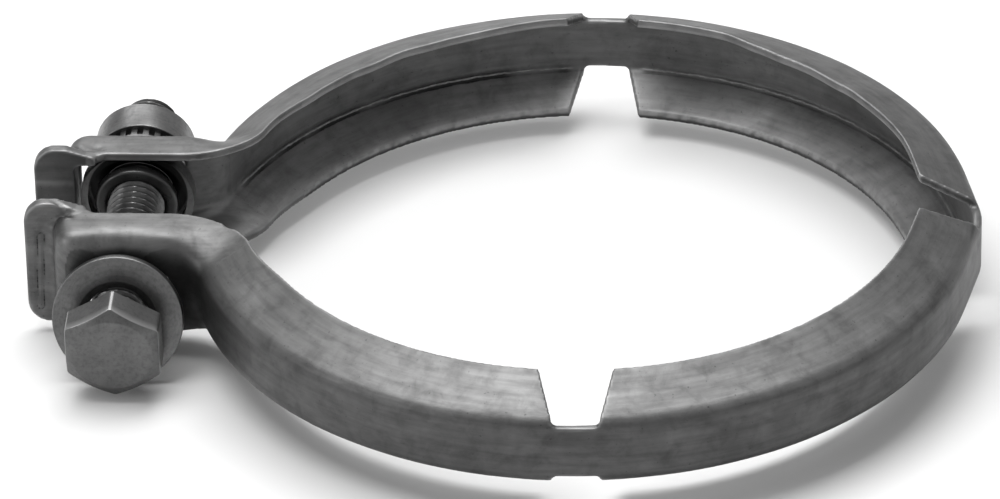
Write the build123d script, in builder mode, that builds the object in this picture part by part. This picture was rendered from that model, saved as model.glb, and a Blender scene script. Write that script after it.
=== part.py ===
"""Exhaust pipe connector: a V-profile band clamp closed by one cross bolt.

Millimetres. The origin is the centre of the ring, +Z runs along the pipe axis.
The clamp's opening and both of its lugs are on the -X side, the front lug on
-Y and the rear lug on +Y. The bolt runs along Y through both lugs, its head
in front. The pieces are drawn as in the photograph: clamp open, bolt backed off.
"""

import os
from math import atan2, cos, degrees, hypot, pi, radians, sin, sqrt, tan

from build123d import *

os.makedirs("parts", exist_ok=True)

# Band
SHEET = 1.2           # sheet thickness
WEB_R = 54.0          # outer radius of the web, the flat wall of the band
FLANGE_DEPTH = 7.93   # from there in to the inner edges of both flanges
BAND_H = 16.4         # height over both flange edges
FLANGE_SLOPE = 24.8   # degrees between a flange and the ring's plane
BEND_R = 2.2          # outer radius of the lengthwise bends
EDGE_EASE = 0.9       # by how much the flanges are shallower where they turn into a lug
EASE_ARC = 14.0       # degrees of ring over which that comes

# Necks
SIDE_NECK = 88.6      # degrees from the +X axis to the front and rear necks
NECK_W = 5.9          # width of a neck along the web
NECK_H = 7.6          # height of a neck
NOTCH_W = 9.7         # width of a flange notch at the flange edge
NOTCH_W_RIGHT = 8.4   # the same for the notch opposite the opening
NOTCH_OVER = 2.0      # how far the notch tool reaches past the sheet on both sides
STRAIGHT = 12.0       # degrees of ring that run straight on each side of the right neck

# Lugs
LUG_FACE = 14.1       # distance from the XZ plane to a lug's outer face
LUG_DEPTH = 6.4       # depth of a lug's channel, sheet included
LUG_BEND = 5.0        # radius of the bend from the ring into the lug, outside
BEND_PACE = 1.6       # how much sooner than the web's height the channel's depth is reached
BEND_STEPS = 6        # sections through that bend
EASE_STEPS = 4        # sections through the ring before it
LUG_END_R = 3.0       # outer radius of the upright corner at the lug's end
BOLT_OUT = 6.48       # from the end of that bend to the bolt's axis
LUG_END = 9.5         # from the bolt's axis to the outer face of the end wall
HOLE_FREE = 2.55      # free space round the bolt in the front lug's hole, for the droop
WINDOW_SIDE = 0.2     # flat left between the rear lug's window and its end wall
WINDOW_FREE = 0.6     # free space over and under the nut's neck in that window
WINDOW_R = 3.0        # corner radius of the window

# End tabs
TAB_FACE = 7.9        # distance from the XZ plane to a tab's outer face
TAB_OUT = 4.4         # how far a tab stands out past the end wall
TAB_H = 19.0          # height of a tab
TAB_T = 1.7           # thickness of a tab, whose edge is upset in pressing
TAB_R = 3.0           # corner radius of a tab
TAB_BLEND = 4.2       # length of the slope from the tab's top to the lug's wall
TAB_BEND = 1.6        # radius of the hollow corner between end wall and tab
TAB_HUMP_R = 2.0      # rounding of the corner where that slope begins

# Bolt
# The loose bolt hangs head down by DROOP and a little outward by SWING. Places along
# it are given as if it lay on the Y axis. It is then turned about the middle of the
# rear lug's web.
DROOP = 5.0           # degrees
SWING = 0.7           # degrees
BOLT_Z = 0.3          # height of the bolt's axis at the rear lug
THREAD_R = 3.95       # crest radius of the M8 thread
BOLT_L = 50.0         # length under the head
HEAD_K = 5.3          # height of the head
HEAD_AF = 12.8        # width across the flats, 13 nominal
HEAD_FACE = 0.8       # ring between the flats and the round face inside the chamfer
HEAD_CONE = 0.55      # rise of that chamfer over its width
HEAD_STEP = 0.3       # height of the round seat under the head
HEAD_SEAT = 0.6       # ring between the flats and that seat
HEAD_FREE = 0.12      # free space between the head's lowest corner and the washer
TIP_CHAMFER = 1.0     # chamfer on the bolt's tip

# Washer
WASHER_R = 9.0        # outer radius
WASHER_T = 1.4        # thickness
WASHER_FREE = 0.55    # free space round the thread in its hole
WASHER_DISH_W = 1.0   # width of the dished mouth of the hole
WASHER_DISH = 0.5     # depth of the dish
WASHER_EDGE = 0.25    # chamfer round the front face
WASHER_OFF = 4.1      # from the front lug to the washer's middle
WASHER_LEAN = 14.0    # degrees that its front face looks upward, as it hangs loose

# Nut
NUT_R = 7.0           # radius of the nut's barrel
NUT_L = 5.6           # length of the barrel
NUT_OFF = 2.95        # from the rear lug to the barrel
NUT_FIT = 0.05        # free space between the nut's bore and the thread crests
NUT_WALL = 1.1        # wall of the nut's neck, which reaches through the rear lug
NUT_EDGE = 0.5        # chamfer at the barrel's rear end
BORE_EDGE = 0.7       # chamfer at both ends of the bore
TOOTH_IN = 0.65       # by how much the toothed ring is smaller than the barrel
TOOTH_COUNT = 24
TOOTH_CUT = 0.6       # depth of the cuts between the teeth
TOOTH_LENGTH = 1.2    # length of the teeth, next to the barrel
TOOTH_GAP = 0.8       # free space between toothed ring and lug, for the droop
CUP_GAP = 0.9         # free space between the cup's back and the lug, for the droop
CUP_SIDE = 0.4        # free space between the cup and the lug's end wall
CUP_TOP = 0.4         # free space between the cup's two flats and the lug's walls
CUP_DEPTH = 2.95      # depth of the cup, outside
CUP_WALL = 1.0        # wall of the cup
CUP_FLOOR = 1.1       # floor of the cup
CUP_EDGE = 0.4        # chamfer round the cup's back
STOP_OUT = 1.4        # how far the dark ring on the thread stands out of the cup
STOP_T = 1.8          # thickness of that ring
STOP_WALL = 1.8       # width of that ring round the thread
STOP_EDGE = 0.4       # rounding of its front edges
STOP_FIT = 0.05       # free space between its bore and the thread


HALF_H = BAND_H / 2
CORNER_H = HALF_H - FLANGE_DEPTH * tan(radians(FLANGE_SLOPE))
FLANGE_R = WEB_R - FLANGE_DEPTH
BEND_CY = -(LUG_FACE + LUG_BEND)
BEND_CX = -sqrt((WEB_R + LUG_BEND) ** 2 - BEND_CY**2)
BEND_START = degrees(atan2(-BEND_CY, -BEND_CX))
BOLT_X = BEND_CX - BOLT_OUT
END_X = BOLT_X - LUG_END
NECK_HALF = degrees(NECK_W / 2 / WEB_R)
KINK_R = NECK_W / 2 / tan(radians(STRAIGHT))
KINK_X = (WEB_R - KINK_R) / cos(radians(STRAIGHT))

BOLT_AXIS = Axis((0, 0, 0), (0, 1, 0))
WEB_MIDDLE = LUG_FACE - SHEET / 2
HANG = Pos(BOLT_X, WEB_MIDDLE, BOLT_Z) * Rot(DROOP, 0, -SWING) * Pos(0, -WEB_MIDDLE, 0)
HEAD_CORNER = HEAD_AF / sqrt(3)
HEAD_FACE_R = HEAD_AF / 2 - HEAD_FACE
HEAD_SEAT_R = HEAD_AF / 2 - HEAD_SEAT
WASHER_AT = -(LUG_FACE + WASHER_OFF)
WASHER_TILT = radians(DROOP + WASHER_LEAN)
WASHER_FRONT = WASHER_AT - WASHER_T / 2 / cos(WASHER_TILT) - HEAD_CORNER * tan(WASHER_TILT)
HEAD_BACK = WASHER_FRONT - HEAD_FREE
SHANK_START = HEAD_BACK + HEAD_STEP
HEAD_FRONT = SHANK_START - HEAD_K
BOLT_TIP = SHANK_START + BOLT_L
WASHER_HOLE_R = THREAD_R + WASHER_FREE
WASHER_DISH_R = WASHER_HOLE_R + WASHER_DISH_W
FRONT_HOLE_R = THREAD_R + HOLE_FREE
NUT_AT = LUG_FACE + NUT_OFF
NUT_END = NUT_AT + NUT_L
NUT_BORE_R = THREAD_R + NUT_FIT
NUT_NECK_R = NUT_BORE_R + NUT_WALL
TOOTH_R = NUT_R - TOOTH_IN
WINDOW_W = 2 * (LUG_END - SHEET - WINDOW_SIDE)
WINDOW_H = 2 * (NUT_NECK_R + WINDOW_FREE)
CUP_R = LUG_END - SHEET - CUP_SIDE
CUP_FLAT = HALF_H - SHEET - CUP_TOP
CUP_BACK = LUG_FACE - SHEET - CUP_GAP
CUP_BASE = CUP_BACK - CUP_FLOOR
CUP_AT = CUP_BACK - CUP_DEPTH
STOP_AT = CUP_AT - STOP_OUT
STOP_BORE_R = THREAD_R + STOP_FIT
STOP_R = STOP_BORE_R + STOP_WALL


def channel(near, depth, corner_h, top_h):
    """Outline points of the bent sheet: web at near, flange edges at near + depth."""
    slope = atan2(top_h - corner_h, depth)
    thick = SHEET / cos(slope)
    inner = corner_h + SHEET * tan(slope) - thick
    far = near + depth
    return [
        (far, top_h), (near, corner_h), (near, -corner_h), (far, -top_h),
        (far, thick - top_h), (near + SHEET, -inner), (near + SHEET, inner),
        (far, top_h - thick),
    ]


def eased(share):
    """Smooth passage from 0 to 1 for a share from 0 to 1."""
    share = min(share, 1)
    return share * share * (3 - 2 * share)


def at_points(cut, plane, points):
    """Vertices of a sketch that lie at these points of its plane."""
    places = [(v, plane.to_local_coords(v)) for v in cut.vertices()]
    return [v for v, place in places
            if min(hypot(place.X - a, place.Y - b) for a, b in points) < 0.01]


def section(plane, near, depth, corner_h, inward):
    """One cut through the band, with its four rounded bends."""
    points = channel(near, depth, corner_h, HALF_H)
    if inward:
        points = [(-a, b) for a, b in points]
    with BuildSketch(plane) as cut:
        with BuildLine():
            Polyline(*points, close=True)
        make_face()
        fillet(at_points(cut, plane, points[1:3]), BEND_R)
        fillet(at_points(cut, plane, points[5:7]), BEND_R - SHEET)
    return cut.sketch


def ring_plane(angle):
    """Upright plane through the ring's axis, its X pointing outward at this angle."""
    a = radians(angle)
    return Plane(origin=(0, 0, 0), x_dir=(cos(a), sin(a), 0), z_dir=(sin(a), -cos(a), 0))


def bend_plane(angle):
    """Upright plane through the bend's axis, its X pointing into the channel."""
    a = radians(angle)
    return Plane(origin=(BEND_CX, BEND_CY, 0), x_dir=(cos(a), sin(a), 0),
                 z_dir=(sin(a), -cos(a), 0))


def notch(angle, width):
    """Tapered tool that cuts both flanges back on each side of a neck."""
    a = radians(angle)
    spot = Plane(origin=(0, 0, 0), x_dir=(cos(a), sin(a), 0), z_dir=(0, 0, 1))
    grow = (width - NECK_W) / 2 / FLANGE_DEPTH
    outside = WEB_R + NOTCH_OVER
    inside = FLANGE_R - NOTCH_OVER
    near = NECK_W / 2 - grow * NOTCH_OVER
    far = width / 2 + grow * NOTCH_OVER
    with BuildPart() as tool:
        with BuildSketch(spot.offset(NECK_H / 2)):
            with BuildLine():
                Polyline((outside, near), (inside, far), (inside, -far), (outside, -near),
                         close=True)
            make_face()
        extrude(amount=HALF_H)
        mirror(about=Plane.XY)
    return tool.part


def arc(start, end):
    """A length of the ring between two angles."""
    with BuildPart() as piece:
        add(section(ring_plane(start), -WEB_R, FLANGE_DEPTH, CORNER_H, True))
        revolve(axis=Axis.Z, revolution_arc=end - start)
    return piece.part


# Front lug blank: ring length, the bend out of the ring and the lug's channel.
FRONT_NECK = 360 - SIDE_NECK
with BuildPart() as lug_bend:
    start_depth = FLANGE_DEPTH - EDGE_EASE
    for i in range(BEND_STEPS + 1):
        share = i / BEND_STEPS
        depth = start_depth + (LUG_DEPTH - start_depth) * eased(BEND_PACE * share)
        corner = CORNER_H + (HALF_H - CORNER_H) * eased(share)
        angle = BEND_START + (90 - BEND_START) * share
        add(section(bend_plane(angle), LUG_BEND, depth, corner, False))
    loft()

# Ring length before the bend, where the flanges grow shallower.
RING_END = 180 + BEND_START
with BuildPart() as lug_ease:
    for i in range(EASE_STEPS + 1):
        depth = FLANGE_DEPTH - EDGE_EASE * (1 - eased(i / EASE_STEPS))
        angle = RING_END + EASE_ARC * i / EASE_STEPS
        add(section(ring_plane(angle), -WEB_R, depth, CORNER_H, True))
    loft()


# The lug's channel and end wall: outer form with rounded edges, then the tab.
with BuildPart() as lug_outer:
    with BuildSketch(Plane.XY.offset(-HALF_H)):
        with BuildLine():
            Polyline(
                (END_X, -LUG_FACE), (BEND_CX, -LUG_FACE), (BEND_CX, LUG_DEPTH - LUG_FACE),
                (END_X + SHEET + TAB_BLEND, LUG_DEPTH - LUG_FACE),
                (END_X + SHEET + TAB_BLEND / 2, TAB_T - TAB_FACE),
                (END_X, TAB_T - TAB_FACE), close=True,
            )
        make_face()
    extrude(amount=BAND_H)
    corner = lug_outer.edges().filter_by(Axis.Z).sort_by(
        lambda e: hypot(e.center().X - END_X, e.center().Y + LUG_FACE))[0]
    fillet(corner, LUG_END_R)
    rim = [e for e in lug_outer.edges()
           if abs(abs(e.center().Z) - HALF_H) < 0.01
           and (abs(e.center().Y + LUG_FACE) < 0.01 or abs(e.center().X - END_X) < 0.01
                or (e.geom_type == GeomType.CIRCLE))]
    fillet(rim, BEND_R)

with BuildPart() as lug_inner:
    with BuildSketch(Plane.XY.offset(SHEET - HALF_H)):
        with BuildLine():
            Polyline(
                (END_X + SHEET, SHEET - LUG_FACE), (BEND_CX, SHEET - LUG_FACE),
                (BEND_CX, 0), (END_X + SHEET, 0), close=True,
            )
        make_face()
    extrude(amount=BAND_H - 2 * SHEET)
    corner = lug_inner.edges().filter_by(Axis.Z).sort_by(
        lambda e: hypot(e.center().X - END_X, e.center().Y + LUG_FACE))[0]
    fillet(corner, LUG_END_R - SHEET)
    rim = [e for e in lug_inner.edges()
           if abs(abs(e.center().Z) - HALF_H + SHEET) < 0.01
           and (abs(e.center().Y + LUG_FACE - SHEET) < 0.01
                or abs(e.center().X - END_X - SHEET) < 0.01
                or (e.geom_type == GeomType.CIRCLE))]
    fillet(rim, BEND_R - SHEET)

with BuildPart() as lug_tab:
    with BuildSketch(Plane(origin=(0, -TAB_FACE, 0), x_dir=(1, 0, 0), z_dir=(0, -1, 0))):
        with BuildLine():
            Polyline(
                (END_X - TAB_OUT, -TAB_H / 2), (END_X, -TAB_H / 2),
                (END_X + TAB_BLEND, -HALF_H), (END_X + TAB_BLEND, HALF_H),
                (END_X, TAB_H / 2), (END_X - TAB_OUT, TAB_H / 2), close=True,
            )
        make_face()
        ends = [v for v in vertices() if v.X < END_X - TAB_OUT + 0.01]
        fillet(ends, TAB_R)
        humps = [v for v in vertices() if abs(v.X - END_X) < 0.01]
        fillet(humps, TAB_HUMP_R)
    extrude(amount=-TAB_T)

with BuildPart() as lug_blank:
    add(lug_outer.part)
    add(lug_tab.part)
    with BuildSketch(Plane.XY.offset(BEND_R - HALF_H)):
        with BuildLine():
            Line((END_X, -TAB_FACE - TAB_BEND), (END_X, -TAB_FACE))
            Line((END_X, -TAB_FACE), (END_X - TAB_BEND, -TAB_FACE))
            CenterArc((END_X - TAB_BEND, -TAB_FACE - TAB_BEND), TAB_BEND, 0, 90)
        make_face()
    extrude(amount=BAND_H - 2 * BEND_R)
    add(lug_inner.part, mode=Mode.SUBTRACT)
    add(lug_bend.part)
    add(lug_ease.part)
    add(arc(RING_END + EASE_ARC, FRONT_NECK - NECK_HALF))
    add(notch(FRONT_NECK, NOTCH_W), mode=Mode.SUBTRACT)


def ring_length():
    """Front right length of the ring: curved from the front neck, then straight."""
    with BuildPart() as piece:
        add(arc(NECK_HALF - SIDE_NECK, -STRAIGHT))
        run = WEB_R * tan(radians(STRAIGHT)) - NECK_W / 2
        extrude(section(ring_plane(-STRAIGHT), -WEB_R, FLANGE_DEPTH, CORNER_H, True),
                amount=-run)
        add(notch(-SIDE_NECK, NOTCH_W), mode=Mode.SUBTRACT)
        add(notch(0, NOTCH_W_RIGHT), mode=Mode.SUBTRACT)
    return piece.part


def neck(radius, half):
    """Short flat length of the web, bent to this outer radius, on the +X side of its axis."""
    with BuildPart() as strip:
        with BuildSketch(ring_plane(-half)):
            with Locations((radius - SHEET / 2, 0)):
                Rectangle(SHEET, NECK_H)
        revolve(axis=Axis.Z, revolution_arc=2 * half)
    return strip.part


def turned(points):
    """Solid of revolution round the Y axis from (radius, y) points."""
    with BuildPart() as solid:
        with BuildSketch():
            with BuildLine():
                Polyline(*points, close=True)
            make_face()
        revolve(axis=BOLT_AXIS)
    return solid.part


def square_to_bolt(y, x=0.0):
    """Sketch plane square to the Y axis at this y, facing +Y."""
    return Plane(origin=(x, y, 0), x_dir=(1, 0, 0), z_dir=(0, 1, 0))


# Band pieces
with BuildPart() as band_front_lug:
    add(lug_blank.part)
    with BuildSketch(square_to_bolt(-LUG_FACE - 1, BOLT_X)):
        Circle(FRONT_HOLE_R)
    extrude(amount=SHEET + 2, mode=Mode.SUBTRACT)
band_front_lug.part.label = "band_front_lug"
export_step(band_front_lug.part, "parts/band_front_lug.step")

with BuildPart() as band_rear_lug:
    add(mirror(lug_blank.part, about=Plane.XZ))
    with BuildSketch(square_to_bolt(LUG_FACE - SHEET - 1, BOLT_X)):
        RectangleRounded(WINDOW_W, WINDOW_H, WINDOW_R)
    extrude(amount=SHEET + 2, mode=Mode.SUBTRACT)
band_rear_lug.part.label = "band_rear_lug"
export_step(band_rear_lug.part, "parts/band_rear_lug.step")

with BuildPart() as band_front_right:
    add(ring_length())
band_front_right.part.label = "band_front_right"
export_step(band_front_right.part, "parts/band_front_right.step")

with BuildPart() as band_rear_right:
    add(mirror(band_front_right.part, about=Plane.XZ))
band_rear_right.part.label = "band_rear_right"
export_step(band_rear_right.part, "parts/band_rear_right.step")

with BuildPart() as neck_front:
    add(neck(WEB_R, NECK_HALF).rotate(Axis.Z, -SIDE_NECK))
neck_front.part.label = "neck_front"
export_step(neck_front.part, "parts/neck_front.step")

with BuildPart() as neck_right:
    add(neck(KINK_R, STRAIGHT).moved(Location((KINK_X, 0, 0))))
neck_right.part.label = "neck_right"
export_step(neck_right.part, "parts/neck_right.step")

with BuildPart() as neck_rear:
    add(neck(WEB_R, NECK_HALF).rotate(Axis.Z, SIDE_NECK))
neck_rear.part.label = "neck_rear"
export_step(neck_rear.part, "parts/neck_rear.step")

# Bolt
with BuildPart() as bolt_level:
    with BuildSketch(square_to_bolt(HEAD_FRONT)):
        RegularPolygon(HEAD_AF / 2, 6, major_radius=False, rotation=90)
    extrude(amount=HEAD_BACK - HEAD_FRONT)
    cone = (HEAD_CORNER - HEAD_FACE_R) * HEAD_CONE
    head_form = turned([
        (0, HEAD_FRONT), (HEAD_FACE_R, HEAD_FRONT), (HEAD_CORNER, HEAD_FRONT + cone),
        (HEAD_CORNER, HEAD_BACK), (0, HEAD_BACK),
    ])
    add(head_form, mode=Mode.INTERSECT)
    # The shank is drawn plain, at the crests of its thread.
    add(turned([
        (0, HEAD_BACK), (HEAD_SEAT_R, HEAD_BACK), (HEAD_SEAT_R, SHANK_START),
        (THREAD_R, SHANK_START), (THREAD_R, BOLT_TIP - TIP_CHAMFER),
        (THREAD_R - TIP_CHAMFER, BOLT_TIP), (0, BOLT_TIP),
    ]))
with BuildPart() as hex_bolt:
    add(bolt_level.part.moved(HANG))
hex_bolt.part.label = "hex_bolt"
export_step(hex_bolt.part, "parts/hex_bolt.step")

# Washer
half = WASHER_T / 2
with BuildPart() as washer_level:
    add(turned([
        (WASHER_HOLE_R, half), (WASHER_R, half), (WASHER_R, WASHER_EDGE - half),
        (WASHER_R - WASHER_EDGE, -half), (WASHER_DISH_R, -half),
        (WASHER_HOLE_R, WASHER_DISH - half),
    ]))
lean = Pos(0, WASHER_AT, 0) * Rot(-DROOP - WASHER_LEAN, 0, 0)
with BuildPart() as head_washer:
    add(washer_level.part.moved(HANG * lean))
head_washer.part.label = "head_washer"
export_step(head_washer.part, "parts/head_washer.step")

# Nut
with BuildPart() as round_nut:
    add(turned([
        (NUT_BORE_R + BORE_EDGE, CUP_BASE), (NUT_NECK_R, CUP_BASE), (NUT_NECK_R, NUT_AT),
        (NUT_R, NUT_AT), (NUT_R, NUT_END - NUT_EDGE), (NUT_R - NUT_EDGE, NUT_END),
        (NUT_BORE_R + BORE_EDGE, NUT_END), (NUT_BORE_R, NUT_END - BORE_EDGE),
        (NUT_BORE_R, CUP_BASE + BORE_EDGE),
    ]).moved(HANG))
round_nut.part.label = "round_nut"
export_step(round_nut.part, "parts/round_nut.step")

with BuildPart() as teeth_level:
    add(turned([
        (NUT_NECK_R, LUG_FACE + TOOTH_GAP), (TOOTH_R, LUG_FACE + TOOTH_GAP),
        (TOOTH_R, NUT_AT), (NUT_NECK_R, NUT_AT),
    ]))
    with BuildSketch(square_to_bolt(NUT_AT)):
        with PolarLocations(TOOTH_R, TOOTH_COUNT):
            Rectangle(TOOTH_CUT * 2, pi * TOOTH_R / TOOTH_COUNT)
    extrude(amount=-TOOTH_LENGTH, mode=Mode.SUBTRACT)
with BuildPart() as toothed_ring:
    add(teeth_level.part.moved(HANG))
toothed_ring.part.label = "toothed_ring"
export_step(toothed_ring.part, "parts/toothed_ring.step")

with BuildPart() as cup_level:
    add(turned([
        (NUT_NECK_R, CUP_BASE), (CUP_R - CUP_WALL, CUP_BASE), (CUP_R - CUP_WALL, CUP_AT),
        (CUP_R, CUP_AT), (CUP_R, CUP_BACK - CUP_EDGE), (CUP_R - CUP_EDGE, CUP_BACK),
        (NUT_NECK_R, CUP_BACK),
    ]))
    with BuildSketch(square_to_bolt(CUP_AT)):
        Rectangle(2 * CUP_R + 2, 2 * CUP_FLAT)
    extrude(amount=CUP_BACK - CUP_AT, mode=Mode.INTERSECT)
with BuildPart() as nut_cup:
    add(cup_level.part.moved(HANG))
nut_cup.part.label = "nut_cup"
export_step(nut_cup.part, "parts/nut_cup.step")

# Ring on the thread
with BuildPart() as stop_ring:
    add(turned([
        (STOP_BORE_R, STOP_AT + STOP_EDGE), (STOP_BORE_R + STOP_EDGE, STOP_AT),
        (STOP_R - STOP_EDGE, STOP_AT), (STOP_R, STOP_AT + STOP_EDGE),
        (STOP_R, STOP_AT + STOP_T), (STOP_BORE_R, STOP_AT + STOP_T),
    ]).moved(HANG))
stop_ring.part.label = "stop_ring"
export_step(stop_ring.part, "parts/stop_ring.step")
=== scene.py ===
import math

import bmesh
import bpy
import numpy as np
from mathutils import Matrix, Vector


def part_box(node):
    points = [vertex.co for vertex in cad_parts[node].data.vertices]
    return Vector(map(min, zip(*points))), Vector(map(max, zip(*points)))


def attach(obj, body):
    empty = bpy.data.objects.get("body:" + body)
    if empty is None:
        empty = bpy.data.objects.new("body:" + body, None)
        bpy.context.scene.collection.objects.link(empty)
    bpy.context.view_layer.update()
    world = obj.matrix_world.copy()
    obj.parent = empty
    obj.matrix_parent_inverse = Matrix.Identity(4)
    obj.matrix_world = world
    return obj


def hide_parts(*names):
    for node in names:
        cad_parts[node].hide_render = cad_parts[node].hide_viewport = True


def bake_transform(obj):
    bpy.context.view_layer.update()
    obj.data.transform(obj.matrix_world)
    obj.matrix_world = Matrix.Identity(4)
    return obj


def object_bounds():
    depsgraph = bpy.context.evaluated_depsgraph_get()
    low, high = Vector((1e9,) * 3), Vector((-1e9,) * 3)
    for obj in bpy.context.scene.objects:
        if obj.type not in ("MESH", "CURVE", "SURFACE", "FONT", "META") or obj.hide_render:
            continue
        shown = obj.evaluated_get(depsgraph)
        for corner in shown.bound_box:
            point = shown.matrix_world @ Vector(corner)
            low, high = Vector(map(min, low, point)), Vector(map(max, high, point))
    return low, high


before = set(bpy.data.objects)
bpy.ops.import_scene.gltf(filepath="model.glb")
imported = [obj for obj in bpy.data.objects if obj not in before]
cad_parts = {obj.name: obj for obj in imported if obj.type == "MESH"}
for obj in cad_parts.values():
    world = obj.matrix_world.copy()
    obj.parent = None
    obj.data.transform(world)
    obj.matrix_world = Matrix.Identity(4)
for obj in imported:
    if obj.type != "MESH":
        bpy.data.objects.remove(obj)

cad_low, cad_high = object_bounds()

# Sizes of the band in metres. They repeat the driving sizes of the solids.
MM = 0.001
SHEET = 1.2 * MM
WEB_R = 54.0 * MM                       # outside of the web
FLANGE_R = 46.07 * MM                   # inner edge of the flanges
CORNER_IN = 3.77 * MM                   # height of the corner between web and flange, inside
NECK_HALF_W = 2.95 * MM
SIDE_NECK = math.radians(88.6)          # angle from the right neck to the front and rear ones
RING_END = math.atan2(19.1, -55.8)      # angle at which the ring turns into a lug
BEND_X = -55.8 * MM
LUG_FACE = 14.1 * MM                    # outside of each lug
TAB_FACE = 7.9 * MM                     # inside of each end tab
TAB_START_X = -72.4 * MM
BOLT_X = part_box("stop_ring")[0].x / 2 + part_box("stop_ring")[1].x / 2

# How the bolt hangs in the rear lug
DROOP = math.radians(5.0)
SWING = math.radians(0.7)
HANG_X = -62.303 * MM
HANG_Z = 0.3 * MM

# Bolt
THREAD_R = 3.95 * MM
PITCH = 1.25 * MM
THREAD_DEPTH = 0.74 * MM
STEPS_PER_TURN = 16                     # rings along one turn of the thread
RUNOUT_R = 3.5 * MM                     # the thread's mean radius just under the head
TIP_CHAMFER = 1.0 * MM
BOLT_LENGTH = 50.0 * MM
SHANK_START = -21.304 * MM
HEAD_K = 5.3 * MM
HEAD_AF = 12.8 * MM
HEAD_FACE_R = 5.6 * MM
HEAD_FACE_RINGS = (1.5 * MM, 3.2 * MM, 4.6 * MM, 5.35 * MM)
HEAD_FACE_RISE = 0.015 * MM
HEAD_CONE = 0.55
HEAD_STEP = 0.3 * MM
HEAD_SEAT_R = 5.8 * MM
HEAD_ROUNDING = 0.10 * MM

# Places along the level bolt, and radii round it
WASHER_AT = -18.2 * MM
WASHER_LEAN = math.radians(14.0)
WASHER_R = 9 * MM
WASHER_BORE_R = 4.5 * MM
WASHER_DISH_R = 5.5 * MM
WASHER_HALF_T = 0.7 * MM
WASHER_LIP = -0.2 * MM
NUT_NECK_R = 5.1 * MM
NUT_BORE_R = 4.0 * MM
NUT_AT = 17.05 * MM
NUT_END = 22.65 * MM
NUT_R = 7.0 * MM
NUT_EDGE = 0.5 * MM
NUT_CHAMFER = 0.7 * MM
CUP_BASE = 10.9 * MM
CUP_R = 7.9 * MM
CUP_RIM = 1.0 * MM
STOP_AT = 7.65 * MM
STOP_T = 1.8 * MM
STOP_R = 5.8 * MM
STOP_BORE_R = 4.0 * MM

# Marks in the sheet, as depths, as middles with widths, and as places where a mark is 0 and 1
SEAM_START = (4.6 * MM, 6.5 * MM)       # from a neck, along the band
SEAM_END = (2.72, 2.80)                 # angle from the right neck, from 1 to 0
RIDGE_DEPTH = 0.24 * MM                 # along the lower inside corner
RIDGE_ACROSS = (0.2 * MM, 0.28 * MM)
SAG_IN, SAG_DOWN = 0.55 * MM, 0.45 * MM
SAG_RIGHT = (16, 34), (67, 59)          # degrees from the right neck
SAG_LEFT = (96, 112), (158, 138)
WINDOW_SHIFT = 1.7 * MM                 # of the window's right edge, towards the nut
WINDOW_X = (-58.6 * MM, -54.6 * MM), (-50.6 * MM, -54.2 * MM)
WINDOW_Z = (7.2 * MM, 6.0 * MM)
FOLD_DEPTH, FOLD_X, FOLD_Y = 0.42 * MM, (-70.6 * MM, 1.5 * MM), (8.6 * MM, 0.5 * MM)
FRONT_SLANT, REAR_SLANT = -0.64, 0.35   # of the fold, as y for each step in x
FRONT_SHIFT = 0.536 * MM
LIP_RISE, LIP_X, LIP_Y = 0.10 * MM, (-70.0 * MM, 0.9 * MM), (9.7 * MM, 0.5 * MM)
TAB_TOP = (5 * MM, 7 * MM)
CREASE_DEPTH, CREASE_X, CREASE_Y = 0.30 * MM, (-67.4 * MM, 1.0 * MM), (9.2 * MM, 0.8 * MM)
CREASE_TOP = (7.3 * MM, 8.0 * MM)
CUP_CLEARANCE = 0.16 * MM               # wider inner bends of the rear lug
CUP_BEND_Y, CUP_BEND_Z = (12.8 * MM, 0.8 * MM), (6.3 * MM, 0.8 * MM)
SLOT_DEPTH = 0.10 * MM
SLOT_X, SLOT_Z = -74.15 * MM, -1.35 * MM
SLOT_HALF_W, SLOT_HALF_H = 0.46 * MM, 5.7 * MM
SLOT_TILT = 0.045                       # x gained for each step up
HOLE_DROP = 2.0 * MM                    # of the front hole's upper edge, which the washer hides
HOLE_R = (9.5 * MM, 7.0 * MM)
HOLE_Z = (1.0 * MM, 5.0 * MM), (8.6 * MM, 6.6 * MM)

# Base colours as greys
# The first grey is painted shade for the band's hollows and shaded faces; the second is rubbed
# metal.
SHADE_GREY, RUBBED = 0.035, 0.29
# Painted shadow and painted highlight along the seam's ledge and the slot's outline
SEAM_SHADOW, SEAM_HIGHLIGHT = 0.008, 0.55
# Painted shade in the thread's roots, and the head's rubbed edges with a painted highlight
THREAD_ROOT_SHADE, HEAD_EDGE_WEAR_AND_GLINT = 0.015, 0.42
# Dark oxide and painted shade inside the cup
CUP_OXIDE_AND_SHADE = 0.018


# Noise that is the same on each run
def hashed(cells):
    """A number from 0 to 1 for each whole-numbered cell."""
    mixed = cells[..., 0] * 374761393 + cells[..., 1] * 668265263 + cells[..., 2] * 1274126177
    mixed = (mixed ^ (mixed >> 13)) * 1103515245 & 0x7FFFFFFF
    return ((mixed ^ (mixed >> 16)) & 0xFFFF) / 65535.0


def noise(points, size):
    """Smooth noise from -1 to 1 at points, with features of this size."""
    scaled = np.asarray(points, float) / size + 100.0
    base = np.floor(scaled).astype(np.int64)
    part = scaled - base
    part = part * part * (3 - 2 * part)
    total = np.zeros(len(scaled))
    for corner in np.ndindex(2, 2, 2):
        step = np.array(corner)
        weight = np.prod(np.where(step, part, 1 - part), axis=1)
        total += weight * hashed(base + step)
    return total * 2 - 1


def bump(values, centre, width):
    """Rounded bump of height 1 round a centre."""
    return np.exp(-((values - centre) / width) ** 2)


def smooth(values, start, end):
    """Smooth passage from 0 at start to 1 at end."""
    share = np.clip((values - start) / (end - start), 0, 1)
    return share * share * (3 - 2 * share)


def between(values, left, right):
    """1 between two ends, each a pair of the value where it is 0 and the one where it is 1."""
    return smooth(values, *left) * smooth(values, *right)


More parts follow.
